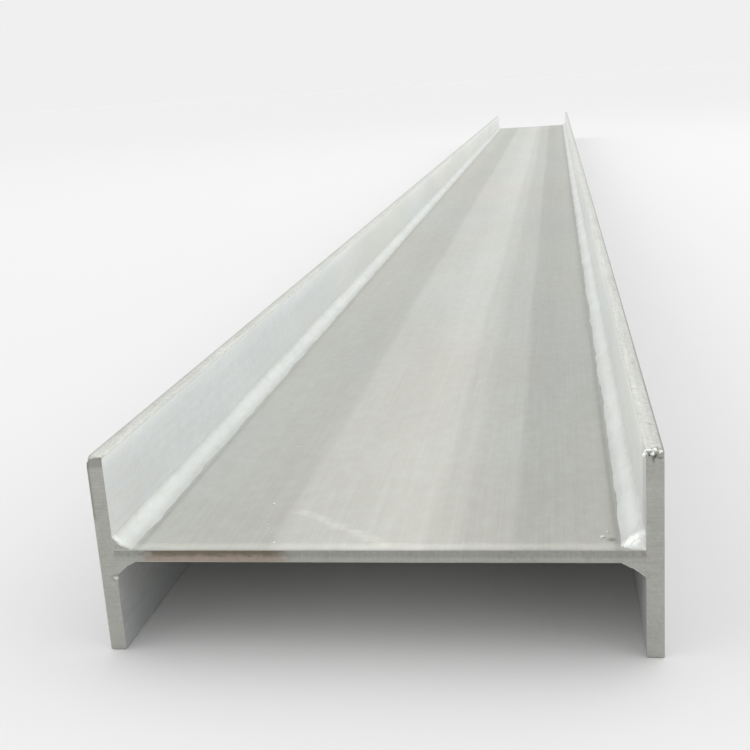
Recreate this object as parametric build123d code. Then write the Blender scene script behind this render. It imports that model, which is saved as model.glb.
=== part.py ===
from build123d import *
import os

# A welded H-section beam made of three stainless steel plates.
# It lies with its web level and its two flanges upright, standing on the flange edges.
# Millimetres. X runs across the depth of the section, Y along the beam, +Z up.
# The origin is on the ground, under the middle of the beam.

# Stock length and section sizes.
beam_length = 6000
beam_depth = 400
flange_width = 150
flange_thickness = 12
web_thickness = 10

# The flange plates' long edges are eased lightly after cutting.
flange_edge_radius = 1.0

# Continuous fillet welds, one in each of the four corners between web and flange.
# Each was laid with the web level, so the molten metal ran out along the web and its leg there is longer.
# The hollow is how far the middle of the weld face lies inside the line between its toes.
# The weld metal has melted this far into both plates at the root, and not at all at its toes.
weld_leg_on_web = 15
weld_leg_on_flange = 10
weld_hollow = 1.2
weld_fusion_depth = 1.0

# The weld face rolls over where the bead stops at each end.
weld_end_radius = 2.0

# The web plate fits between the flange plates, half way up them.
web_depth = beam_depth - 2 * flange_thickness
web_height = flange_width / 2

LEFT = -1
RIGHT = 1
UPPER = 1
LOWER = -1
SIDES = {"left": LEFT, "right": RIGHT}
LEVELS = {"upper": UPPER, "lower": LOWER}


def run_along_beam(section):
    """Run a section drawn on the XZ plane along Y, centred on the middle of the beam."""
    return extrude(section, amount=beam_length / 2, both=True)


def weld_points(side, level):
    """The corners of one weld's section: its two toes, and how far it has melted into each plate."""
    corner = Vector(side * web_depth / 2, web_height + level * web_thickness / 2)
    toe_on_web = corner - Vector(side * weld_leg_on_web, 0)
    toe_on_flange = corner + Vector(0, level * weld_leg_on_flange)
    root_in_web = corner - Vector(0, level * weld_fusion_depth)
    root_in_flange = corner + Vector(side * weld_fusion_depth, 0)
    return toe_on_web, root_in_web, root_in_flange, toe_on_flange


def melted_zones(side):
    """What the two welds on one side have melted, drawn straight from toe to toe."""
    return [Plane.XZ * make_face(Polyline(*weld_points(side, level), close=True)) for level in (UPPER, LOWER)]


def web_plate():
    """The level plate, square edged where it seats on the flanges, between the roots of the welds."""
    section = Plane.XZ * Pos(0, web_height) * Rectangle(web_depth, web_thickness)
    return run_along_beam(section - melted_zones(LEFT) - melted_zones(RIGHT))


def flange_plate(side):
    """One upright plate, with its four long edges eased."""
    middle = side * (beam_depth - flange_thickness) / 2
    outline = RectangleRounded(flange_thickness, flange_width, flange_edge_radius)
    section = Plane.XZ * Pos(middle, flange_width / 2) * outline
    return run_along_beam(section - melted_zones(side))


def fillet_weld(side, level):
    """The weld in one corner: melted into both plates, with a slightly hollow face between its toes."""
    toe_on_web, root_in_web, root_in_flange, toe_on_flange = weld_points(side, level)
    towards_root = Vector(side * weld_leg_on_flange, -level * weld_leg_on_web).normalized()
    middle_of_face = (toe_on_web + toe_on_flange) / 2 + towards_root * weld_hollow
    roots = Polyline(toe_on_web, root_in_web, root_in_flange, toe_on_flange)
    face = ThreePointArc(toe_on_flange, middle_of_face, toe_on_web)
    bead = run_along_beam(Plane.XZ * make_face(roots + face))
    end_curves = bead.edges().filter_by(GeomType.CIRCLE)
    return fillet(end_curves, weld_end_radius)


def beam_pieces():
    """Every piece of the beam, by name."""
    pieces = {"web_plate": web_plate()}
    for side_name, side in SIDES.items():
        pieces[f"{side_name}_flange_plate"] = flange_plate(side)
        for level_name, level in LEVELS.items():
            pieces[f"{level_name}_{side_name}_fillet_weld"] = fillet_weld(side, level)
    return pieces


os.makedirs("parts", exist_ok=True)
for name, piece in beam_pieces().items():
    piece.label = name
    export_step(piece, f"parts/{name}.step")
    print(name, round(piece.volume / 1e6, 3), "litres")
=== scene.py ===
# %% [markdown]
# # A steel beam welded from three plates
#
# The real object is a long H-section beam lying with its web level and its two flanges upright. It
# was not rolled in one piece. A shop cut three stainless steel plates, stood two of them on edge
# against the third, and ran a fillet weld along each of the four inside corners. The whole beam was
# then pickled in acid, which takes the heat colours off and leaves a dull, pale, even grey.
#
# The sizes are not chosen here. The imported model, the frame, says where every plate and weld lies,
# and each piece below is built around that, in metres, with +Y along the beam and +Z up.

# %% Load the frame
import random
from math import exp, pi, radians, sqrt

import bmesh
import bpy
from mathutils import Matrix, Quaternion, Vector, noise


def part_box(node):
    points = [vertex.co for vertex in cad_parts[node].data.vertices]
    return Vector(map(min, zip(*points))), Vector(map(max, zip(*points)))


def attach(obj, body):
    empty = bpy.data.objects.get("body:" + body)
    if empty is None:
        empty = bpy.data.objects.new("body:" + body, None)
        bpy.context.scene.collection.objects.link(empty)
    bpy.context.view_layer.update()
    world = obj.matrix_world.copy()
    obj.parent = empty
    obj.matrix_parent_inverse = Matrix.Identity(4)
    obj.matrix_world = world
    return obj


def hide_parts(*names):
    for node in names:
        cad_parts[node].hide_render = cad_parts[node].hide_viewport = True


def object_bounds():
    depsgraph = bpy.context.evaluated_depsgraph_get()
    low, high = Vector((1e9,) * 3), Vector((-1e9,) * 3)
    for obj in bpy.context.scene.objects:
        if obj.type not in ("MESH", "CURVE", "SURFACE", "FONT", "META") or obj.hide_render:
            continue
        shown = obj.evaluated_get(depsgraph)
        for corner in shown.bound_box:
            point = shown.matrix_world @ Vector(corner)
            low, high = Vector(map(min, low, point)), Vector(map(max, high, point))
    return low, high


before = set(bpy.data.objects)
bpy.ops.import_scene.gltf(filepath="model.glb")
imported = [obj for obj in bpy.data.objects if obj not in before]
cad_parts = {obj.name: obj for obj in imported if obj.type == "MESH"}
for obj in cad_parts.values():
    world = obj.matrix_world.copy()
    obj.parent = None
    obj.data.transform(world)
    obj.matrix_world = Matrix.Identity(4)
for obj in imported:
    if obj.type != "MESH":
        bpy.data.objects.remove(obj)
cad_low, cad_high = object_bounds()
MM = 0.001
print("beam from", [round(v, 4) for v in cad_low], "to", [round(v, 4) for v in cad_high])

# %% [markdown]
# ## The sizes that the plates and welds share
#
# A welded beam is laid out from its corners. Each weld starts where a flange meets the web, and
# reaches one leg along each plate: the two lines where it stops are its toes. The leg on the web is
# the longer one, because the molten metal ran out over the level plate. Reading both legs from the
# frame once means that the plates, the beads and the shading of the toe lines can't drift apart.

# %% Read the plates and the weld legs
web_low, web_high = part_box("web_plate")
left_low, left_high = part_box("left_flange_plate")
right_low, right_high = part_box("right_flange_plate")
weld_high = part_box("upper_left_fillet_weld")[1]

front = cad_low.y
rear = cad_high.y
beam_length = rear - front
web_middle = (web_low.z + web_high.z) / 2
web_half_thickness = (web_high.z - web_low.z) / 2
inner_face = left_high.x
leg_on_web = weld_high.x - inner_face
leg_on_flange = weld_high.z - web_high.z
toe_on_web = abs(inner_face) - leg_on_web
print("weld legs:", round(leg_on_web / MM, 1), "mm on the web,",
      round(leg_on_flange / MM, 1), "mm on the flange")

# %% [markdown]
# ## Two helpers for every finish
#
# Colours are given as sRGB hex values, the way a paint program gives them, but a shader works in
# linear light, so one function converts them. A second function adds a node, sets it up and links it
# in one call, which keeps a long material readable from top to bottom.

# %% Colours and nodes
def linear(hex_colour):
    """Turn an sRGB hex colour, such as "#c4c5be", into the linear colour that a shader takes."""
    channels = [int(hex_colour[i:i + 2], 16) / 255 for i in (1, 3, 5)]
    return [c / 12.92 if c <= 0.04045 else ((c + 0.055) / 1.055) ** 2.4 for c in channels] + [1.0]


def add_node(tree, kind, inputs=None, **settings):
    """Add a node. Each input is a value, another node, or one socket of another node."""
    made = tree.nodes.new(kind)
    for name, value in settings.items():
        setattr(made, name, value)
    for name, value in (inputs or {}).items():
        if isinstance(value, bpy.types.Node):
            value = value.outputs[0]
        if isinstance(value, bpy.types.NodeSocket):
            tree.links.new(value, made.inputs[name])
        else:
            made.inputs[name].default_value = value
    return made


print("the middle grey #808080 is", round(linear("#808080")[0], 3), "in linear light")

# %% [markdown]
# ## Patterns that all the finishes use
#
# Bare metal is never one even grey. Rolling draws it out in streaks along the plate, acid leaves
# cloudy patches, and handling leaves spots. All of these are noise, stretched by the real size of
# the mark along each axis, so one small function makes them all from sizes in millimetres.

# %% Noise from real sizes
def blotches(tree, place, size_mm, detail=2.0, shift=0.0):
    """Noise around 0.5, with marks of about this size in millimetres along X, Y and Z."""
    stretched = add_node(tree, "ShaderNodeMapping",
                         {"Vector": place,
                          "Location": [shift, shift, shift],
                          "Scale": [1 / (size * MM) for size in size_mm]})
    return add_node(tree, "ShaderNodeTexNoise",
                    {"Vector": stretched, "Scale": 1.0, "Detail": detail})


def arithmetic(tree, operation, *values):
    """One step of arithmetic on numbers or nodes."""
    return add_node(tree, "ShaderNodeMath", dict(enumerate(values)), operation=operation)


def swing(tree, pattern, amount):
    """Turn a pattern around 0.5 into a change around 0, of about plus or minus the amount."""
    centred = arithmetic(tree, "SUBTRACT", pattern, 0.5)
    return arithmetic(tree, "MULTIPLY", centred, 4 * amount)


def fade(tree, value, start, end, low=0.0, high=1.0):
    """Go smoothly from one number to another as a value passes from start to end."""
    return add_node(tree, "ShaderNodeMapRange",
                    {"Value": value, "From Min": start, "From Max": end,
                     "To Min": low, "To Max": high},
                    interpolation_type="SMOOTHSTEP")


# %% [markdown]
# ## Adding the patterns up
#
# A finish is one colour made a little lighter here and darker there. Every mark gives a small
# change of tone around zero, the changes are added to 1, and the colour is multiplied by the sum.
# That way a new mark never disturbs the ones already there, as it would if they were painted over
# each other.

# %% Sums and blends
def total(tree, parts):
    """Add any number of parts together."""
    result = parts[0]
    for part in parts[1:]:
        result = arithmetic(tree, "ADD", result, part)
    return result


def tinted(tree, colour, tone):
    """A colour made lighter or darker by a tone around 1."""
    return add_node(tree, "ShaderNodeVectorMath", {0: colour, "Scale": tone}, operation="SCALE")


def blend_colours(tree, share, first, second):
    """Pass from the first colour to the second as the share goes from 0 to 1."""
    mixed = add_node(tree, "ShaderNodeMix", {0: share, 6: first, 7: second}, data_type="RGBA")
    return mixed.outputs[2]


# %% [markdown]
# ## Bands and lines
#
# A brush was carried along the beam in passes, and each pass left a long soft band, a shade lighter
# or darker than the next. Some bands are painted light instead, lifting the web beside the flanges
# and the flanges towards their tops. A line is the same thing made narrow: the dark line at the toe
# of a weld is painted shade, for the shadow in the groove where the arc bit into the plate. Both
# follow a distance, so they could be painted on an image, but worked out from the distance they stay
# sharp at any zoom and follow the sizes of the frame. Some marks differ between the left and the
# right half of the beam, so one more function picks a number by the side.

# %% Bands and lines
def tone_at_band_edges(tree, across, tone_bands):
    """The change of tone at each edge of a band, brushed and painted alike: where, how soft, how
    much.
    """
    return [fade(tree, across, (edge - softness / 2) * MM, (edge + softness / 2) * MM, 0, change)
            for edge, softness, change in tone_bands]


def dark_line(tree, distance, half_width_mm, depth):
    """A soft dark line where a distance is near zero."""
    return fade(tree, arithmetic(tree, "ABSOLUTE", distance), 0, half_width_mm * MM, -depth, 0)


def by_side(tree, axes, left=0.0, right=1.0):
    """One number on the left flange and its beads, another on the right ones."""
    return fade(tree, axes["X"], left_low.x / 2, right_high.x / 2, left, right)


# %% [markdown]
# ## Starting a finish and closing it
#
# Every finish on the beam starts with the same few nodes: the shader, the place of a point on its
# piece, and that place taken apart into X, Y and Z. Object coordinates are used, because they are
# in metres and stay with the piece. Every finish also ends alike, with a colour, a roughness and a
# relief linked to the shader. What is the same all over the surface is set on the shader itself.

# %% Start and close a finish
def start_finish(name):
    """A new material, its nodes and shader, the place on a piece, and the axes of that place."""
    material = bpy.data.materials.new(name)
    material.use_nodes = True
    tree = material.node_tree
    shader = tree.nodes["Principled BSDF"]
    place = add_node(tree, "ShaderNodeTexCoord").outputs["Object"]
    axes = add_node(tree, "ShaderNodeSeparateXYZ", {"Vector": place}).outputs
    return material, tree, shader, place, axes


def close_finish(tree, shader, colour, shine, relief):
    """Link the colour, the roughness and the relief of a finish to its shader."""
    for socket, node in (("Base Color", colour), ("Roughness", shine), ("Normal", relief)):
        tree.links.new(node.outputs[0], shader.inputs[socket])


# %% [markdown]
# ## Finish of the plates: hot-rolled stainless steel, annealed and pickled
#
# The plates are austenitic stainless steel in the mill's No. 1 finish: rolled hot, softened, and
# pickled in acid. The acid etches the grain boundaries, so to the eye it is metal but dull, with a
# wide soft sheen and no mirror. An image of steel could be wrapped round the plates, but it would
# repeat along six metres. Noise at each real scale, from clouds down to grain, never repeats.

# %% Pickled plate
def pickled_plate(name, shades, bands_across, tone_bands, marks, streakiness):
    """Etched steel: bands across an axis, some painted light; clouds, streaks, grain, marks."""
    material, tree, shader, place, axes = start_finish(name)

    # The brush wandered a few millimetres as it was carried along.
    wander = swing(tree, blotches(tree, place, (4000, 900, 4000), shift=3.1), 4 * MM)
    across = arithmetic(tree, "ADD", axes[bands_across], wander)
    clouds = blotches(tree, place, (110, 340, 110), detail=4.0, shift=7.7)
    mottle = blotches(tree, place, (9, 15, 9), detail=4.0, shift=6.6)
    streaks = blotches(tree, place, (6, 500, 6), detail=3.0, shift=1.3)
    fine_streaks = blotches(tree, place, (1.8, 150, 1.8), detail=2.0, shift=5.9)
    # Etched grain is some 0.05 mm across. It is drawn at 1.3 mm, so that it shows at all.
    grain = blotches(tree, place, (1.3, 1.8, 1.3), detail=3.0, shift=2.4)
    changes = tone_at_band_edges(tree, across, tone_bands)
    changes += [swing(tree, clouds, 0.05), swing(tree, mottle, 0.035), swing(tree, grain, 0.055)]
    changes += [swing(tree, streaks, 0.035 * streakiness)]
    changes += [swing(tree, fine_streaks, 0.04 * streakiness)]
    # Far down the beam the steel is a little paler.
    changes += [fade(tree, axes["Y"], front, rear, -0.01, 0.05)]
    changes += marks(tree, place, axes)
    tone = total(tree, [1.0] + changes)

    tint_map = blotches(tree, place, (260, 800, 120), detail=2.0, shift=11.2)
    patchy = arithmetic(tree, "ADD", tint_map, swing(tree, mottle, 0.15))
    tint = blend_colours(tree, fade(tree, patchy, 0.35, 0.65), linear(shades[0]), linear(shades[1]))
    shine = total(tree, [0.72, swing(tree, clouds, 0.05), swing(tree, streaks, 0.04)])
    # The etched skin scatters about half of the light as a matt surface does.
    shader.inputs["Metallic"].default_value = 0.5

    # The relief: slow waves of the rolled plate, then the fine streaks, then the etched grain.
    dents = blotches(tree, place, (180, 420, 180), detail=1.0, shift=4.2)
    relief = add_node(tree, "ShaderNodeBump", {"Height": dents, "Distance": 0.8 * MM})
    for height, depth in ((fine_streaks, 0.03 * MM), (grain, 0.06 * MM)):
        relief = add_node(tree, "ShaderNodeBump",
                          {"Height": height, "Distance": depth, "Normal": relief})
    close_finish(tree, shader, tinted(tree, tint, tone), shine, relief)
    print(name, "has", len(tree.nodes), "nodes")
    return material


# %% [markdown]
# ## Marks on the web
#
# The front of the web was handled and dragged over, so a strip along its edge is rubbed bright and
# a pale scuff slants away from it, beside two small nicks. Along each bead runs a soft dark line of
# painted shade, for the shadow in the undercut. The underside carries painted shade as well, for the
# shadow under the web. An image laid on the plate could carry such marks, but each one here is a
# change of tone that goes by the distance from a line or a spot, which needs no image and stays
# sharp.

# %% Marks on the web
groove_width = 5 * MM
undercut = toe_on_web - groove_width / 2
strip_behind_front = 6 * MM
# The scuff starts level, 70 mm behind the front, and slants forwards as it goes to the right.
scuff_level = 70 * MM
scuff_slant = -0.85
scuff_on_middle = 18 * MM
scuff_centre = -30 * MM
# Each nick: X and its distance from the front, its half width in mm, and how much darker it is.
nicks = ((166, 17, 5.0, 0.42), (165, 29, 2.2, 0.18))


def rubbed_and_scuffed(tree, place, axes, from_front):
    """The strip rubbed bright along the front edge, and the worn scuff behind it."""
    ragged = swing(tree, blotches(tree, place, (14, 9, 14), detail=4.0, shift=1.9), 4 * MM)
    behind_edge = arithmetic(tree, "MULTIPLY_ADD", ragged, 0.5, from_front)
    from_strip = arithmetic(tree, "SUBTRACT", behind_edge, strip_behind_front)
    off_strip = arithmetic(tree, "ABSOLUTE", from_strip)
    rubbed = fade(tree, off_strip, 1 * MM, 8 * MM, 0.15, 0.0)
    slant = arithmetic(tree, "MULTIPLY_ADD", axes["X"], scuff_slant, scuff_on_middle)
    scuff_line = arithmetic(tree, "MINIMUM", slant, scuff_level)
    from_scuff = arithmetic(tree, "SUBTRACT", from_front, scuff_line)
    off_scuff = arithmetic(tree, "ABSOLUTE", arithmetic(tree, "ADD", from_scuff, ragged))
    inside = fade(tree, off_scuff, 0.5 * MM, 9 * MM, 0.15, 0.0)
    reach = arithmetic(tree, "ABSOLUTE", arithmetic(tree, "SUBTRACT", axes["X"], scuff_centre))
    in_reach = arithmetic(tree, "MULTIPLY", inside, fade(tree, reach, 34 * MM, 50 * MM, 1.0, 0.0))
    spots = blotches(tree, place, (11, 6, 11), detail=3.0, shift=7.3)
    scuff = arithmetic(tree, "MULTIPLY", in_reach, fade(tree, spots, 0.35, 0.6, 0.4, 1.0))
    return [rubbed, scuff]


def marks_on_web(tree, place, axes):
    """Painted shade along the undercuts and under the web, two nicks, the rubbed strip and a scuff.
    """
    off_centre = arithmetic(tree, "ABSOLUTE", axes["X"])
    off_undercut = arithmetic(tree, "SUBTRACT", off_centre, undercut)
    # The dark line along each undercut is painted shade, for the shadow in the groove.
    line = total(tree, [dark_line(tree, off_undercut, half_width_mm=4.5, depth=0.12),
                        dark_line(tree, off_undercut, half_width_mm=9, depth=0.04)])
    from_front = arithmetic(tree, "SUBTRACT", axes["Y"], front)
    fainter_behind = fade(tree, from_front, 60 * MM, 500 * MM, 1.0, 0.5)
    # The darker underside is painted shade, for the shadow under the web.
    painted_underside_shade = fade(tree, axes["Z"], web_low.z + 2 * MM, web_high.z - 2 * MM, -0.15, 0.0)
    changes = [arithmetic(tree, "MULTIPLY", line, fainter_behind), painted_underside_shade]
    for x, y, half_width_mm, depth in nicks:
        nick = (x * MM, front + y * MM, web_high.z)
        off_nick = add_node(tree, "ShaderNodeVectorMath", {0: place, 1: nick}, operation="DISTANCE")
        changes.append(dark_line(tree, off_nick.outputs["Value"], half_width_mm, depth))
    return changes + rubbed_and_scuffed(tree, place, axes, from_front)


print("each undercut lies", round(undercut / MM, 1), "mm from the middle of the web")

# %% [markdown]
# ## Marks on the flanges
#
# Only the upper insides of the flanges were brushed pale, and a hand's breadth at the front end
# came out a shade darker. Their outer faces, and the insides below the web, carry painted shade, a
# darker grey for the shadow that falls there. The right flange was brushed longer, from a forearm's
# length behind the front, and the heat of the cut dulled a narrow strip inside its front end. These
# could be painted on as a mask, but a fade between two places still fits when a size of the frame
# changes.

# %% Marks on the flanges
def marks_on_flange(tree, place, axes):
    """Painted shade outside and below the web, the darker front end, and what only the right has."""
    off_centre = arithmetic(tree, "ABSOLUTE", axes["X"])
    # The outer faces and the insides below the web are darker: painted shade, for the shadow there.
    painted_outside_shade = fade(tree, off_centre, right_low.x + 5 * MM, right_high.x, 0.0, -0.26)
    painted_shade_below_web = fade(tree, axes["Z"], web_low.z, web_high.z, -0.18, 0.0)
    at_front = fade(tree, axes["Y"], front + 20 * MM, front + 160 * MM, -0.03, 0.015)
    on_right = by_side(tree, axes)
    heated = fade(tree, axes["Y"], front + 12 * MM, front + 45 * MM, -0.22, 0.0)
    heated_on_right = arithmetic(tree, "MULTIPLY", heated, on_right)
    brushed_longer = fade(tree, axes["Y"], front + 150 * MM, front + 600 * MM, 0.0, 0.05)
    paler_on_right = arithmetic(tree, "MULTIPLY", brushed_longer, on_right)
    # Where two of these meet, only the darker one counts.
    painted_shade_and_heat_dulling = arithmetic(tree, "MINIMUM", painted_outside_shade, painted_shade_below_web)
    painted_shade_and_heat_dulling = arithmetic(tree, "MINIMUM", painted_shade_and_heat_dulling, heated_on_right)
    return [painted_shade_and_heat_dulling, at_front, paler_on_right]


# %% [markdown]
# ## The two plate finishes
#
# The same steel looks different on the web and on the flanges, because each was brushed on its own:
# the web has a pale band down its middle with darker ones beside it. Painted light lifts the web
# beside each flange, and makes the flanges paler towards their tops, where more light falls. So one
# function makes both, from its own list of bands and its own shades.

# %% Web and flange finishes
# Each edge of a band: its place across the plate and its softness in mm, and the change of tone
# there. The web's bands at -133 and 140 mm are painted light, lifting the web beside each flange
# against the shade that falls there.
web_bands_and_painted_light = ((-190, 2, 0.06), (-133, 75, -0.13), (-72, 16, 0.12), (-8, 44, 0.06), (38, 10, -0.08),
              (60, 16, -0.08), (98, 9, -0.10), (140, 60, 0.13), (166, 10, -0.03))
# Every flange band is painted light: the flange grows paler towards its top, where more light falls.
flange_painted_light_bands = ((105, 60, 0.05), (138, 24, 0.07), (145, 9, 0.08))

web_finish = pickled_plate("pickled_stainless_web", ("#bebeb7", "#bdbfbb"), "X",
                           web_bands_and_painted_light, marks_on_web, streakiness=0.75)
flange_finish = pickled_plate("pickled_stainless_flange", ("#e0e1dd", "#dcdfdf"), "Z",
                              flange_painted_light_bands, marks_on_flange, streakiness=0.5)

# %% [markdown]
# ## Finish of the cut edges
#
# The plates were cut out with a plasma torch, a jet of hot gas that blows the molten steel away. It
# leaves fine drag lines through the thickness, side by side along the cut, so a cut edge is duller
# than the plate and catches the light in stripes. The stripes are noise, long through the plate and
# fine along the cut, and the same noise lifts the surface a little.

# %% Cut edge
def cut_edge(name, shade, line_size_mm, speckle, stain):
    """Metal with drag lines, long in one direction and fine in the other two."""
    material, tree, shader, place, axes = start_finish(name)
    lines = blotches(tree, place, line_size_mm, detail=3.0, shift=0.7)
    patches = blotches(tree, place, (30, 60, 30), detail=3.0, shift=6.1)
    grain = blotches(tree, place, (2.2, 3.0, 2.2), detail=3.0, shift=9.4)
    tone = total(tree, [1.0, swing(tree, lines, 0.10), swing(tree, patches, 0.05),
                        swing(tree, grain, speckle)])
    # Here and there a spot has taken a tan colour from the acid.
    spots = blotches(tree, place, (7, 14, 7), detail=4.0, shift=12.5)
    tan_share = fade(tree, spots, 0.62, 0.74, 0.0, 0.4)
    steel = blend_colours(tree, tan_share, linear(shade), linear("#a3936f"))
    steel = stain(tree, place, axes, steel)
    shader.inputs["Metallic"].default_value = 0.8
    shine = total(tree, [0.66, swing(tree, lines, 0.05)])
    drag = add_node(tree, "ShaderNodeBump", {"Height": lines, "Distance": 0.1 * MM})
    close_finish(tree, shader, tinted(tree, steel, tone), shine, drag)
    print(name, "has", len(tree.nodes), "nodes")
    return material


# %% [markdown]
# ## Rust on the front end of the web
#
# A little rust has bled into the left part of the web's front end, where the torch left iron in the
# cut: brown on the upper half and pinkish below. The whole upper half of that end is a shade darker
# too. Rust could be a material of its own, but this is only a stain, so both are laid over the
# steel by height, with a ragged noise so that their limits wander.

# %% Rust and shade on the ends of the web
# The rust fades in over the first stretch of X and out over the second one.
rust_starts = (-172 * MM, -158 * MM)
rust_ends = (-72 * MM, -52 * MM)
# It turns from pinkish to brown over one stretch of height, and the steel darkens over another.
browner = (web_middle - 1.5 * MM, web_middle + 2.5 * MM)
darker = (web_middle - 2.5 * MM, web_middle + 0.5 * MM)


def rust_on_web_end(tree, place, axes, steel):
    """Lay the rust and the darker upper half over the steel."""
    ragged = swing(tree, blotches(tree, place, (7, 7, 2.5), detail=4.0, shift=3.3), 6 * MM)
    along = arithmetic(tree, "ADD", axes["X"], ragged)
    inside = arithmetic(tree, "MULTIPLY", fade(tree, along, *rust_starts),
                        fade(tree, along, *rust_ends, 1.0, 0.0))
    at_front = fade(tree, axes["Y"], front + 3 * MM, front + 1 * MM)
    height = arithmetic(tree, "ADD", axes["Z"], arithmetic(tree, "MULTIPLY", ragged, 0.25))
    pinkish, brown = linear("#a99c90"), linear("#857b6b")
    rust = blend_colours(tree, fade(tree, height, *browner), pinkish, brown)
    share = arithmetic(tree, "MULTIPLY", arithmetic(tree, "MULTIPLY", inside, at_front), 0.95)
    stained = blend_colours(tree, share, steel, rust)
    return tinted(tree, stained, fade(tree, axes["Z"], *darker, 1.0, 0.83))


print("rust from", rust_starts[0] / MM, "to", rust_ends[1] / MM, "mm across the front of the web")

# %% [markdown]
# ## Darker top and outer arris of a flange end
#
# The cut of the left flange's end is darker along the top and down the upper part of its outer
# arris. A second material would end in a hard line, so it is a shade of the same steel, laid by
# place, and fades out softly.

# %% Darker top and outer arris of a flange end
def dark_top_and_outer_arris(tree, place, axes, steel):
    """Darken the top of the left flange's end and the upper part of its outer arris."""
    by_arris = fade(tree, axes["X"], left_low.x + 0.8 * MM, left_low.x + 2.8 * MM, 0.74, 1.0)
    lower_down = fade(tree, axes["Z"], left_high.z - 50 * MM, left_high.z - 35 * MM, 1.0, 0.0)
    by_top = fade(tree, axes["Z"], left_high.z - 10 * MM, left_high.z - 5 * MM, 1.0, 0.76)
    arris = arithmetic(tree, "MAXIMUM", by_arris, lower_down)
    top = arithmetic(tree, "MAXIMUM", by_top, by_side(tree, axes))
    return tinted(tree, steel, arithmetic(tree, "MULTIPLY", arris, top))


# %% [markdown]
# ## Shade across the long edges
#
# Each long edge is a little lighter on its inner side and darker towards the outside, and its outer
# arris carries a dark line of painted shade, for the shadow on the rounded outer corner. That line
# is what the eye follows along the beam against a pale ground. It goes by the distance from the
# middle of the beam, so it suits both flanges.

# %% Shade across the long edges
def paler_inside_and_arris_shade(tree, place, axes, steel):
    """Lighten the inner side of the edge and paint shade on its outer arris."""
    off_centre = arithmetic(tree, "ABSOLUTE", axes["X"])
    slope = fade(tree, off_centre, right_low.x, right_high.x - 2 * MM, 1.05, 0.92)
    # The dark outer arris is painted shade, for the shadow on the rounded corner.
    arris = fade(tree, off_centre, right_high.x - 2.2 * MM, right_high.x - 0.8 * MM, 1.0, 0.62)
    return tinted(tree, steel, arithmetic(tree, "MULTIPLY", slope, arris))


# %% [markdown]
# ## The three edge finishes
#
# The ends of all the plates were left as cut. On a flange's end the drag lines run across its
# thickness, and on the web's ends they stand upright. The long edges of the flanges were ground
# after the cut, with the grinder drawn along them, and came out of the acid paler and speckled. So
# each finish gets its own line size along X, Y and Z.

# %% Ends and long edges
# Drag lines lie about 0.8 mm apart. They are drawn at 1.4 mm, so that they show from the camera.
flange_end_finish = cut_edge("plasma_cut_flange_end", "#b5b5af", line_size_mm=(16, 1.4, 1.4),
                             speckle=0.07, stain=dark_top_and_outer_arris)
web_end_finish = cut_edge("plasma_cut_web_end", "#b0b1ab", line_size_mm=(1.4, 16, 16),
                          speckle=0.07, stain=rust_on_web_end)
ground_edge_finish = cut_edge("ground_flange_edge", "#cecfca", line_size_mm=(1.6, 50, 1.6),
                              speckle=0.12, stain=paler_inside_and_arris_shade)

# %% [markdown]
# ## Finish of the welds
#
# Weld metal is cast steel: it froze behind the arc in crescents a couple of millimetres apart, and
# its skin is smoother and brighter than the etched plate, so the four beads are the lightest lines
# on the beam. Its toes are darker, painted shade that leaves a painted highlight down the middle,
# and the front ends carry painted highlights, with painted shade beside the right flange. The
# crescents and the darker toes follow the bead, so they are drawn from the piece's own attribute,
# which says how far across the bead face a point lies.

# %% Weld metal
ripple_pitch = 2.2 * MM
# The middle of a crescent lies a quarter of this much behind its two ends.
ripple_bow = 14 * MM


def crescent_ripples(tree, place, axes, across):
    """Waves along the bead that bow across it, from -1 to 1."""
    off_middle = arithmetic(tree, "SUBTRACT", across, 0.5)
    crescent = arithmetic(tree, "MULTIPLY", off_middle, off_middle)
    wobble = swing(tree, blotches(tree, place, (9, 9, 9), shift=8.3), 0.8 * MM)
    along = total(tree, [axes["Y"], arithmetic(tree, "MULTIPLY", crescent, ripple_bow), wobble])
    return arithmetic(tree, "SINE", arithmetic(tree, "MULTIPLY", along, 2 * pi / ripple_pitch))


def painted_light_near_front(tree, axes, across):
    """Painted highlight at the front end; beside the flange, painted light left, shade right."""
    from_front = arithmetic(tree, "SUBTRACT", axes["Y"], front)
    # The front end carries a painted highlight, strongest on the right.
    painted_end_highlight = arithmetic(tree, "MULTIPLY", fade(tree, from_front, 3 * MM, 15 * MM, 1.0, 0.0),
                         by_side(tree, axes, 0.03, 0.26))
    # Beside the flange the front carries a painted highlight on the left and painted shade on the
    # right.
    flange_side = arithmetic(tree, "MULTIPLY", fade(tree, from_front, 2 * MM, 6 * MM, 1.0, 0.0),
                             fade(tree, across, 0.5, 0.9))
    painted_flange_side_light = arithmetic(tree, "MULTIPLY", flange_side, by_side(tree, axes, 0.14, -0.12))
    return [painted_end_highlight, painted_flange_side_light]


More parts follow.
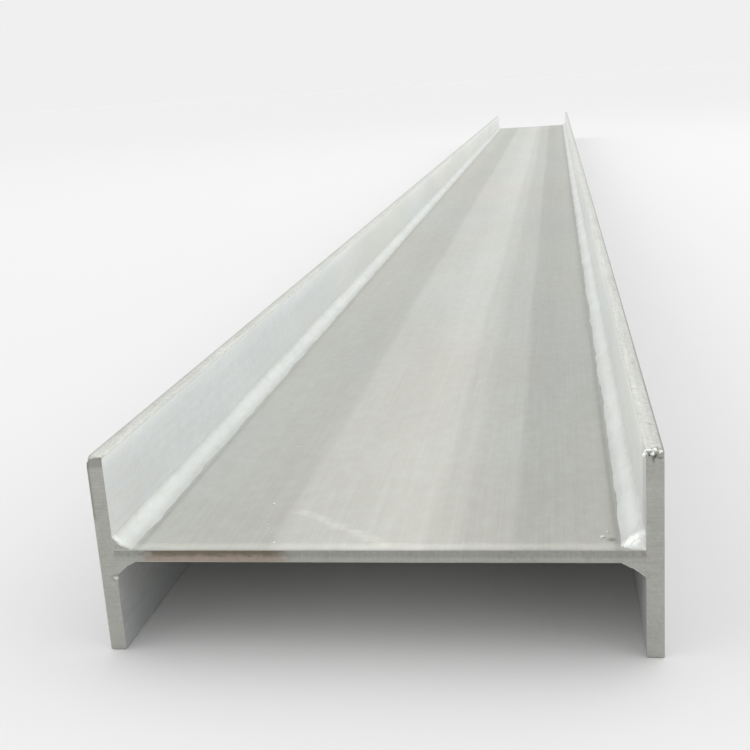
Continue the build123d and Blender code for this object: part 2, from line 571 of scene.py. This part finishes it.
def weld_metal(name):
    """Bright metal with crescent ripples along a bead."""
    material, tree, shader, place, axes = start_finish(name)
    across = add_node(tree, "ShaderNodeAttribute", attribute_name="across").outputs["Fac"]
    ripples = crescent_ripples(tree, place, axes, across)
    lumps = blotches(tree, place, (5, 14, 5), detail=2.0, shift=3.9)
    heats = blotches(tree, place, (60, 70, 60), detail=2.0, shift=14.1)
    changes = [swing(tree, lumps, 0.10), swing(tree, heats, 0.05)]
    # Both toes are darker, the one on the web over a wider part of the face: painted shade, which
    # leaves a painted highlight down the middle.
    changes += [fade(tree, across, 0.0, 0.45, -0.14, 0.0), fade(tree, across, 0.7, 1.0, 0.0, -0.14)]
    # Painted highlights and shade near the front end.
    changes += painted_light_near_front(tree, axes, across)
    changes += [arithmetic(tree, "MULTIPLY", ripples, 0.05)]
    share = fade(tree, lumps, 0.3, 0.7)
    steel = blend_colours(tree, share, linear("#dbddd9"), linear("#d4d7d5"))
    shader.inputs["Metallic"].default_value = 1.0
    shine = total(tree, [0.55, swing(tree, lumps, 0.05)])
    uneven = add_node(tree, "ShaderNodeBump", {"Height": lumps, "Distance": 0.15 * MM})
    rippled = add_node(tree, "ShaderNodeBump",
                       {"Height": ripples, "Distance": 0.09 * MM, "Normal": uneven})
    close_finish(tree, shader, tinted(tree, steel, total(tree, [1.0] + changes)), shine, rippled)
    print(name, "has", len(tree.nodes), "nodes")
    return material


weld_finish = weld_metal("stainless_weld_metal")

# %% [markdown]
# ## From a bmesh to a piece on the beam
#
# Every piece ends the same way: its mesh is written, its finishes are put on, it rides on the
# beam's one body, and the solids of the frame that it stands for are hidden. The editor's own
# commands could do this too, but they act on what happens to be selected, and a script is safer with
# the data itself.

# %% Finish a piece
# Points nearer than this are one point.
same_point = 0.001 * MM


def make_piece(bm, name, finishes, stands_for=()):
    """Write the bmesh to an object that rides on the beam and replaces the named solids."""
    # Where a bevel crosses a cut it leaves strips without any width, so their points are merged.
    bmesh.ops.remove_doubles(bm, verts=bm.verts, dist=same_point)
    bmesh.ops.recalc_face_normals(bm, faces=bm.faces)
    open_edges = [edge for edge in bm.edges if not edge.is_manifold]
    mesh = bpy.data.meshes.new(name)
    bm.to_mesh(mesh)
    bm.free()
    piece = bpy.data.objects.new(name, mesh)
    bpy.context.scene.collection.objects.link(piece)
    for finish in finishes:
        mesh.materials.append(finish)
    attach(piece, "root")
    for node in stands_for:
        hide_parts(node)
    print(name, len(mesh.polygons), "faces,", len(open_edges), "open edges")


# %% [markdown]
# ## How a plate is cut
#
# A plate is a box whose edges were eased with a grinder. It starts as one cube, stretched between
# two corners of the frame, and bevels round its edges. A cube could also be scaled as an object,
# but then its bevels would be stretched with it, so the size is put into the mesh first.

# %% Cut a plate and ease its edges
X, Y, Z = range(3)
end_radius = 0.8 * MM
flange_edge_radius = 1.0 * MM


def stretched_cube(low, high):
    """A box between two corners."""
    bm = bmesh.new()
    bmesh.ops.create_cube(bm, size=1)
    bmesh.ops.scale(bm, verts=bm.verts, vec=high - low)
    bmesh.ops.translate(bm, verts=bm.verts, vec=(low + high) / 2)
    return bm


def ease_edges(bm, edges, radius):
    """Round some edges over."""
    bmesh.ops.bevel(bm, geom=edges, offset=radius, offset_type="OFFSET", segments=3, profile=0.5,
                    affect="EDGES", material=-1, clamp_overlap=True)


def runs_along_beam(edge):
    """Whether an edge is one of the long ones."""
    return abs(edge.verts[0].co.y - edge.verts[1].co.y) > beam_length / 2


def cut_line(bm, axis, place):
    """Cut the surface where a plane across one axis meets it."""
    normal = Vector((0, 0, 0))
    normal[axis] = 1
    everything = bm.verts[:] + bm.edges[:] + bm.faces[:]
    bmesh.ops.bisect_plane(bm, geom=everything, plane_co=normal * place, plane_no=normal)


print("edges eased by", end_radius / MM, "mm at the ends and",
      flange_edge_radius / MM, "mm along the flanges")

# %% [markdown]
# ## The web plate
#
# The web is the wide level plate. Its upright corners meet the flanges, so only the long edges of
# its ends are eased. The arc bit a shallow groove into it beside each toe, an undercut, so each
# broad face is cut along three lines there and the middle line is pressed in. A bump in the finish
# could fake the groove, but a pressed one is in the mesh itself.

# %% The web
groove_depth = 0.25 * MM
# A point this near to a line or a plane lies on it.
on_it = 0.01 * MM
# The normal of a cut end leans at least this much along Y. The eased rim beside it leans less.
end_lean = 0.98


def lies_across(edge):
    """Whether an edge runs from flange to flange."""
    return abs(edge.verts[0].co.x - edge.verts[1].co.x) > (web_high.x - web_low.x) / 2


def press_groove(bm, middle, surface, push):
    """Press a groove along the beam into the broad face at one height."""
    for line in (middle - groove_width / 2, middle, middle + groove_width / 2):
        cut_line(bm, X, line)
    for vert in bm.verts:
        if abs(vert.co.x - middle) < on_it and abs(vert.co.z - surface) < on_it:
            vert.co.z += push


web = stretched_cube(web_low, web_high)
ease_edges(web, [edge for edge in web.edges if lies_across(edge)], end_radius)
for side in (-1, 1):
    press_groove(web, side * undercut, web_high.z, -groove_depth)
    press_groove(web, side * undercut, web_low.z, groove_depth)
web.normal_update()
for face in web.faces:
    face.material_index = 1 if abs(face.normal.y) > end_lean else 0
make_piece(web, "pickled_web_plate", [web_finish, web_end_finish], ["web_plate"])

# %% [markdown]
# ## The flange plates
#
# The two upright plates have their edges eased, but not where their ends run flush into the web and
# the welds. Their top front corners took knocks in handling, and the arc burnt a small notch into
# the left one, below its lower weld. A dent could be sculpted by hand, but that can't be repeated
# from a script. Here the surface is cut into small squares around the spot, and every point is
# pressed in by how near it lies, with a little noise so that it is ragged.

# %% A knock on a corner
cuts_in_reach = 8
cuts_each_way = 10
ragged_size = 2.2 * MM


def knock(bm, spot, reach, push, raggedness):
    """Press the surface in around a spot on an end of a plate, as a knock does."""
    for axis in (X, Y, Z):
        for step in range(-cuts_each_way, cuts_each_way + 1):
            cut_line(bm, axis, spot[axis] + step * reach / cuts_in_reach)
    for vert in bm.verts:
        nearness = max(1 - (vert.co - spot).length / reach, 0)
        uneven = max(1 + raggedness * noise.noise(vert.co / ragged_size), 0)
        vert.co += push * uneven * (1 - (1 - nearness) ** 2) ** 2


print("a knock cuts its surroundings into squares of", 1 / cuts_in_reach, "of its reach")

# %% [markdown]
# ## Two plates from one loop
#
# Each finish goes to the faces it belongs to by the way they look: along the beam for an end, up or
# down for a long edge, and sideways for the rolled faces. Painting them by hand would give the
# same, but this still holds when a size changes. The flanges differ only in their knocks.

# %% The flanges
# A face whose normal leans more than this along an axis isn't a rolled face any more.
eased_lean = 0.1


def faces_web(edge):
    """Whether an edge of an end stands beside the web."""
    return all(abs(abs(vert.co.x) - abs(inner_face)) < on_it for vert in edge.verts)


def finish_of_face(face):
    """0 for a rolled face, 1 for an end and its rim, 2 for a long ground edge."""
    if abs(face.normal.y) > eased_lean:
        return 1
    if abs(face.normal.z) > eased_lean:
        return 2
    return 0


# Each knock: its place, how far it reaches, which way and how deep it pressed, how ragged it is.
left_corner = Vector((left_low.x, front, left_high.z))
left_notch = Vector((left_high.x - 1.8 * MM, front, 56.6 * MM))
right_corner = Vector((right_low.x + 5 * MM, front, right_high.z))
knocks = {"left": [(left_corner, 7 * MM, Vector((1.4, 0.8, -1.4)) * MM, 0.8),
                   (left_notch, 4.5 * MM, Vector((0, 1.8, 0)) * MM, 0.4)],
          "right": [(right_corner, 11 * MM, Vector((0, 1.8, -2.0)) * MM, 1.8)]}
for name, low, high in (("left", left_low, left_high), ("right", right_low, right_high)):
    flange = stretched_cube(low, high)
    ease_edges(flange, [edge for edge in flange.edges if runs_along_beam(edge)], flange_edge_radius)
    around_ends = [edge for edge in flange.edges
                   if not runs_along_beam(edge) and not faces_web(edge)]
    ease_edges(flange, around_ends, end_radius)
    flange.normal_update()
    for face in flange.faces:
        face.material_index = finish_of_face(face)
    for spot, reach, push, raggedness in knocks[name]:
        knock(flange, spot, reach, push, raggedness)
    make_piece(flange, f"pickled_{name}_flange_plate",
               [flange_finish, flange_end_finish, ground_edge_finish],
               [f"{name}_flange_plate"])

# %% [markdown]
# ## A straight bead to start from
#
# A bead is one section carried along six metres. The section is drawn once in a corner: two toes, a
# small lip at each, and a root sunk into the plates. Extruding gives the length, and cutting the
# long edges gives rings. A curve with a bevel object would do the same, but its section couldn't
# change along the way, and a real bead is never twice the same.

# %% A bead cut into rings
bead_sink = 1.0 * MM
bead_lip = 0.3 * MM
# The ends stop just inside the box of the solids.
bead_end_gap = 0.1 * MM
face_cuts = 9
ring_cuts = 1999
ring_spacing = (beam_length - 2 * bead_end_gap) / (ring_cuts + 1)


def bead_blank(corner, inward, upward):
    """A straight bead in a corner, cut into rings, with a face of several strips."""
    outline = [(-bead_sink, -bead_sink), (leg_on_web, -bead_sink), (leg_on_web, bead_lip),
               (bead_lip, leg_on_flange), (-bead_sink, leg_on_flange)]
    bm = bmesh.new()
    y = front + bead_end_gap
    points = [bm.verts.new((corner[0] + inward * along, y, corner[1] + upward * up))
              for along, up in outline]
    section = bm.faces.new(points)
    hollow_edge = bm.edges.get((points[2], points[3]))
    bmesh.ops.subdivide_edges(bm, edges=[hollow_edge], cuts=face_cuts)
    grown = bmesh.ops.extrude_face_region(bm, geom=[section])
    tops = [item for item in grown["geom"] if isinstance(item, bmesh.types.BMVert)]
    bmesh.ops.translate(bm, verts=tops, vec=(0, beam_length - 2 * bead_end_gap, 0))
    long_edges = [edge for edge in bm.edges if runs_along_beam(edge)]
    bmesh.ops.subdivide_edges(bm, edges=long_edges, cuts=ring_cuts, use_grid_fill=True)
    return bm


print("a bead has", ring_cuts + 2, "rings and a face of", face_cuts + 1, "strips")

# %% [markdown]
# ## The uneven shape of a bead
#
# Every point of the blank is then moved a little. The rings are crowded towards the ends, where the
# camera is near and where the bead rolls over and stops. The face is hollow, the toes wander, the
# size breathes with the welder's speed, and metal pools where the torch paused. All of it follows
# smooth noise along the beam, so that no two stretches match and the same bead comes out each run.
# A Displace modifier could roughen a bead too, but it couldn't keep the root still or round an end
# over. These first functions answer one question each about a distance along the beam.

# %% Waves and ends of a bead
ring_crowding = 3.0
# Each seed reads the noise this far from the last one, so that no two waves match.
seed_spacing = 17.3
# Metal pools round this distance from an end, over about this width.
pool_middle = 7 * MM
pool_width = 11 * MM
# The throat of a weld, from its root to its face, is some 0.7 of its leg.
throat = 0.7 * (leg_on_web + leg_on_flange) / 2


def crowded(y):
    """Move a ring towards the nearer end of the beam, so that rings lie closest there."""
    half = beam_length / 2 - bead_end_gap
    share = abs(y) / half
    eased = 1 - (exp(ring_crowding * (1 - share)) - 1) / (exp(ring_crowding) - 1)
    return half * eased if y > 0 else -half * eased


def wave(y, length_mm, seed):
    """A smooth wandering number between about -1 and 1 along the beam."""
    return 2 * noise.noise(Vector((y / (length_mm * MM), seed_spacing * seed, 0.5)))


def pooling(distance):
    """How much metal pooled near an end, where the torch paused, from 0 to 1."""
    return exp(-((distance - pool_middle) / pool_width) ** 2)


def end_shape(distance, roll, swell):
    """How large the bead is near an end, as a share of its full size."""
    size = 1 + swell * pooling(distance)
    if distance < roll:
        size -= (roll - sqrt(max(roll ** 2 - (roll - distance) ** 2, 0))) / throat
    return size


print("the throat of a bead is", round(throat / MM, 2), "mm")

# %% [markdown]
# ## Pressing and pulling every point
#
# Each point of the blank is known by two numbers: how far it lies along the web and how far up the
# flange, as shares of the legs. Their ratio says how far across the bead face it is, and it is kept
# in an attribute of the mesh, which the finish of the welds reads. The root stays where it is,
# hidden in the plates, and only what shows is moved.

# %% The shape of a bead
bead_hollow = 1.2 * MM
face_length = sqrt(leg_on_web ** 2 + leg_on_flange ** 2)
# How uneven a bead is: its size in slow and quick waves, its hollow, its lumps and its toe line.
slow_change = 0.03
quick_change = 0.015
hollow_change = 0.25
lump_height = 0.14 * MM
toe_wander = 0.7 * MM
# How every bead ends at the rear.
rear_roll = 2.2 * MM
rear_swell = 0.06
# Across the face, 0 is the toe on the web and 1 the toe on the flange.
face_middle = 0.5


def shape_bead(bm, corner, inward, upward, seed, front_swell, front_fill, front_roll):
    """Give a blank its hollow face, wandering toes, uneven size and rolled-over ends."""
    across_layer = bm.verts.layers.float.new("across")
    for vert in bm.verts:
        # Cutting six metres so often adds up small errors, so a ring is placed by its number.
        ring = round((vert.co.y - front - bead_end_gap) / ring_spacing)
        y = crowded(front + bead_end_gap + ring * ring_spacing)
        from_front = y - front - bead_end_gap
        from_rear = rear - bead_end_gap - y
        along_web = (vert.co.x - corner[0]) * inward
        up_flange = (vert.co.z - corner[1]) * upward
        web_share, flange_share = along_web / leg_on_web, up_flange / leg_on_flange
        on_root = web_share <= 0 and flange_share <= 0
        across = face_middle if on_root else flange_share / (web_share + flange_share)
        across = min(max(across, 0), 1)
        vert[across_layer] = across
        if not on_root:
            size = 1 + slow_change * wave(y, 45, seed) + quick_change * wave(y, 9, seed + 1)
            size *= end_shape(from_front, front_roll, front_swell)
            size *= end_shape(from_rear, rear_roll, rear_swell)
            middle = 4 * across * (1 - across)
            hollow = bead_hollow * (1 + hollow_change * wave(y, 70, seed + 2)) * middle
            hollow *= 1 - front_fill * pooling(from_front)
            lump = lump_height * wave(y + 0.4 * across * MM, 7, seed + 3 + across)
            lump *= 1 + 2 * front_fill * pooling(from_front)
            raised = (lump - hollow) * middle
            sideways = toe_wander * wave(y, 22, seed + 4) * (1 - across) ** 2
            along_web = along_web * size + raised * leg_on_flange / face_length + sideways
            up_flange = up_flange * size + raised * leg_on_web / face_length
        vert.co = (corner[0] + inward * along_web, y, corner[1] + upward * up_flange)


print("the face of a bead is", round(face_length / MM, 1), "mm across")

# %% [markdown]
# ## The four beads
#
# All four are made by the same two functions, one for each corner. They differ in their seed, so
# that their waves differ, and in how they end at the front. The upper right one stops in a full
# round pool, so its nose is weld metal all over. The other three were cut through with the plates,
# so their ends are flat and have the finish of the cut.

# %% Beads in the four corners
# At the front end: how far the bead swells, how much of its hollow fills up (1 is all of it), and
# how far back it rolls over.
front_ends = {"upper_left": (0.02, 0.2, 1.5 * MM), "upper_right": (0.08, 2.0, 7.0 * MM),
              "lower_left": (0.05, 0.3, 0.7 * MM), "lower_right": (0.06, 0.6, 0.7 * MM)}
for seed, (corner_name, front_end) in enumerate(front_ends.items()):
    level, side = corner_name.split("_")
    upward = 1 if level == "upper" else -1
    outward = 1 if side == "right" else -1
    corner = (outward * abs(inner_face), web_middle + upward * web_half_thickness)
    bead = bead_blank(corner, -outward, upward)
    shape_bead(bead, corner, -outward, upward, 10 * seed, *front_end)
    for face in bead.faces:
        is_cut = len(face.verts) > 4 and corner_name != "upper_right"
        face.smooth = not is_cut
        face.material_index = 1 if is_cut else 0
    make_piece(bead, f"{corner_name}_bead", [weld_finish, flange_end_finish],
               [f"{corner_name}_fillet_weld"])

# %% [markdown]
# ## Weld spatter
#
# A welding arc throws off drops of steel that freeze where they land, mostly within a hand's
# breadth of the bead. Each is a small sphere pressed flat against the plate. They are joined in one
# mesh, and carry the same attribute as the beads, set to the bright middle of the bead face. A
# particle system could strew them, but it would have to be made real before it counts as a mesh.

# %% One frozen drop
# Noise makes a drop lumpy, and is lowered a little so that its lumps stay within the sphere.
drop_lumpiness = 0.45
lump_lowering = 0.4


def new_drops():
    """An empty mesh whose points can say how far across the bead face they lie."""
    bm = bmesh.new()
    bm.verts.layers.float.new("across")
    return bm


def add_drop(bm, centre, radius, flat_axis, flatness=0.6):
    """Add one lumpy frozen drop, pressed flat along an axis."""
    size = Vector((radius, radius, radius))
    size[flat_axis] *= flatness
    stretch = Matrix.Translation(centre) @ Matrix.Diagonal(size).to_4x4()
    made = bmesh.ops.create_icosphere(bm, subdivisions=3, radius=1, matrix=stretch)
    for vert in made["verts"]:
        lump = noise.noise(vert.co / radius) - lump_lowering
        vert.co += (vert.co - centre) * drop_lumpiness * lump
        vert[bm.verts.layers.float["across"]] = face_middle


def make_drops(bm, name):
    """Finish all the drops of a mesh as one piece of bare weld metal."""
    for face in bm.faces:
        face.smooth = True
    make_piece(bm, name, [weld_finish])


# %% [markdown]
# ## Where the spatter landed
#
# Most drops lie anywhere along the beam, thrown from the toes by a random length: short throws are
# common and long ones rare. A fixed seed gives the same drops each run. The few that are seen best,
# near the front, are placed one by one.

# %% Spatter beside the beads
random.seed(7)
strewn_drops = 26
mean_throw = 22 * MM
beside_toe = 2 * MM
# Drops near the front: X, distance from the front and radius, in mm.
placed_drops = ((160, 22, 2.3), (164, 31, 1.1), (-90, 88, 1.4), (-77, 29, 1.3), (-71, 12, 1.5),
                (-84, 46, 1.0), (-102, 227, 1.3))

spatter = new_drops()
for _ in range(strewn_drops):
    side = random.choice((-1, 1))
    throw = random.expovariate(1 / mean_throw)
    y = random.uniform(front, rear)
    radius = random.uniform(0.5, 1.1) * MM
    x = side * max(toe_on_web - beside_toe - throw, 0)
    add_drop(spatter, Vector((x, y, web_high.z)), radius, Z)
for x, from_front, radius in placed_drops:
    add_drop(spatter, Vector((x * MM, front + from_front * MM, web_high.z)), radius * MM, Z)
make_drops(spatter, "weld_spatter")

# %% [markdown]
# ## Dross on the cut ends
#
# A plasma torch also leaves dross: beads of steel that ran down the cut and froze on its rim. A
# cluster sits on the knocked corner of the right flange, and one bead in the notch of the left. One
# sculpted lump would do as well, but the lumpy drops of the spatter are at hand, and both are steel
# that froze where it stuck.

# %% Dross on the front end
# Where each bead lies: X, distance from the front, Z and its radius, in mm.
dross_beads = ((187.8, 2.4, 145.8, 2.2), (188.6, 4.2, 148.0, 1.9), (190.8, 4.6, 148.0, 2.1),
               (193.8, 5.2, 148.1, 2.0), (192.4, 2.6, 146.8, 2.0), (198.0, 2.4, 147.9, 2.1),
               (-189.8, 2.3, 56.6, 2.5))
dross = new_drops()
for x, from_front, z, radius in dross_beads:
    add_drop(dross, Vector((x * MM, front + from_front * MM, z * MM)), radius * MM, Y, flatness=0.9)
make_drops(dross, "cutting_dross")

# %% [markdown]
# ## Floor
#
# The beam lies on a plain pale floor. A floor that ends shows its edge behind a low camera, so this
# one is a disc so wide that its rim lies on the horizon, as bright there as the sky behind it.

# %% Floor
floor_radius = 80
floor_gap = 0.3 * MM
disc = bmesh.new()
bmesh.ops.create_circle(disc, cap_ends=True, segments=96, radius=floor_radius)
bmesh.ops.translate(disc, verts=disc.verts, vec=(0, 0, -floor_gap))
floor_mesh = bpy.data.meshes.new("floor")
disc.to_mesh(floor_mesh)
disc.free()
floor = bpy.data.objects.new("floor", floor_mesh)
bpy.context.scene.collection.objects.link(floor)
floor_finish = bpy.data.materials.new("plain_pale_floor")
floor_finish.use_nodes = True
floor_shader = floor_finish.node_tree.nodes["Principled BSDF"]
floor_shader.inputs["Base Color"].default_value = linear("#e3e3e3")
floor_shader.inputs["Roughness"].default_value = 0.9
floor_shader.inputs["Specular IOR Level"].default_value = 0.2
floor_mesh.materials.append(floor_finish)
print("floor", round(2 * floor_radius), "m wide")

# %% [markdown]
# ## Light
#
# Steel shows what it mirrors, so the light is soft and even, as from an overcast sky. The sky is
# brighter to both sides than overhead, which lifts the upright flanges above the level web, and one
# large softbox overhead lays a soft shadow under the beam.

# %% Light
world = bpy.data.worlds.new("overcast")
world.use_nodes = True
bpy.context.scene.world = world
sky = world.node_tree
direction = add_node(sky, "ShaderNodeTexCoord").outputs["Generated"]
towards = add_node(sky, "ShaderNodeSeparateXYZ", {"Vector": direction})
horizon_brightness = 0.872
# Each limit below is an X, Y or Z of the direction that is looked in, from -1 to 1.
above_horizon = fade(sky, towards.outputs["Z"], 0.08, 0.40)
sideways = arithmetic(sky, "ABSOLUTE", towards.outputs["X"])
to_the_sides = fade(sky, sideways, 0.2, 0.9, 0.14, 0.82)
behind_camera = fade(sky, towards.outputs["Y"], -0.8, 0.2, -0.3, 0.0)
added = total(sky, [to_the_sides, behind_camera])
brightness = arithmetic(sky, "MULTIPLY_ADD", above_horizon, added, horizon_brightness)
background = sky.nodes["Background"]
background.inputs["Color"].default_value = (1.0, 1.0, 1.0, 1.0)
sky.links.new(brightness.outputs[0], background.inputs["Strength"])

softbox_place = Vector((1.5, 1.0, 5.0))
softbox_aim = Vector((0, -1.0, 0))
light = bpy.data.lights.new("overhead_softbox", "AREA")
light.size = 5.0
light.energy = 34
softbox = bpy.data.objects.new("overhead_softbox", light)
bpy.context.scene.collection.objects.link(softbox)
facing = (softbox_aim - softbox_place).to_track_quat("-Z", "Y").to_matrix().to_4x4()
softbox.matrix_world = Matrix.Translation(softbox_place) @ facing
print(softbox.name, light.size, "m wide,", light.energy, "W")

# %% [markdown]
# ## Camera
#
# The camera stands where the photographer stood, at the near end and a little to the right, and
# looks along the beam from above. Its lens is longer than the photographer's, so that the one beam
# fills the frame: a longer lens from the same place changes only the crop, not the perspective.

# %% Camera
camera_place = Vector((0.1352, -3.7161, 0.3948))
camera_target = Vector((-0.0692, -2.5246, 0.0800))
camera_roll = radians(-3.91)
camera_data = bpy.data.cameras.new("camera")
camera_data.lens = 54.09
camera_data.clip_start = 0.01
camera_data.clip_end = 300
camera = bpy.data.objects.new("camera", camera_data)
bpy.context.scene.collection.objects.link(camera)
camera.rotation_mode = "QUATERNION"
camera.location = camera_place
camera.rotation_quaternion = ((camera_target - camera_place).to_track_quat("-Z", "Y")
                              @ Quaternion((0, 0, 1), camera_roll))
bpy.context.scene.camera = camera
bpy.context.scene.view_settings.view_transform = "Standard"
aim_length = (camera_target - camera_place).length
print("camera", round(aim_length, 2), "m from its target, lens", round(camera_data.lens, 1), "mm")
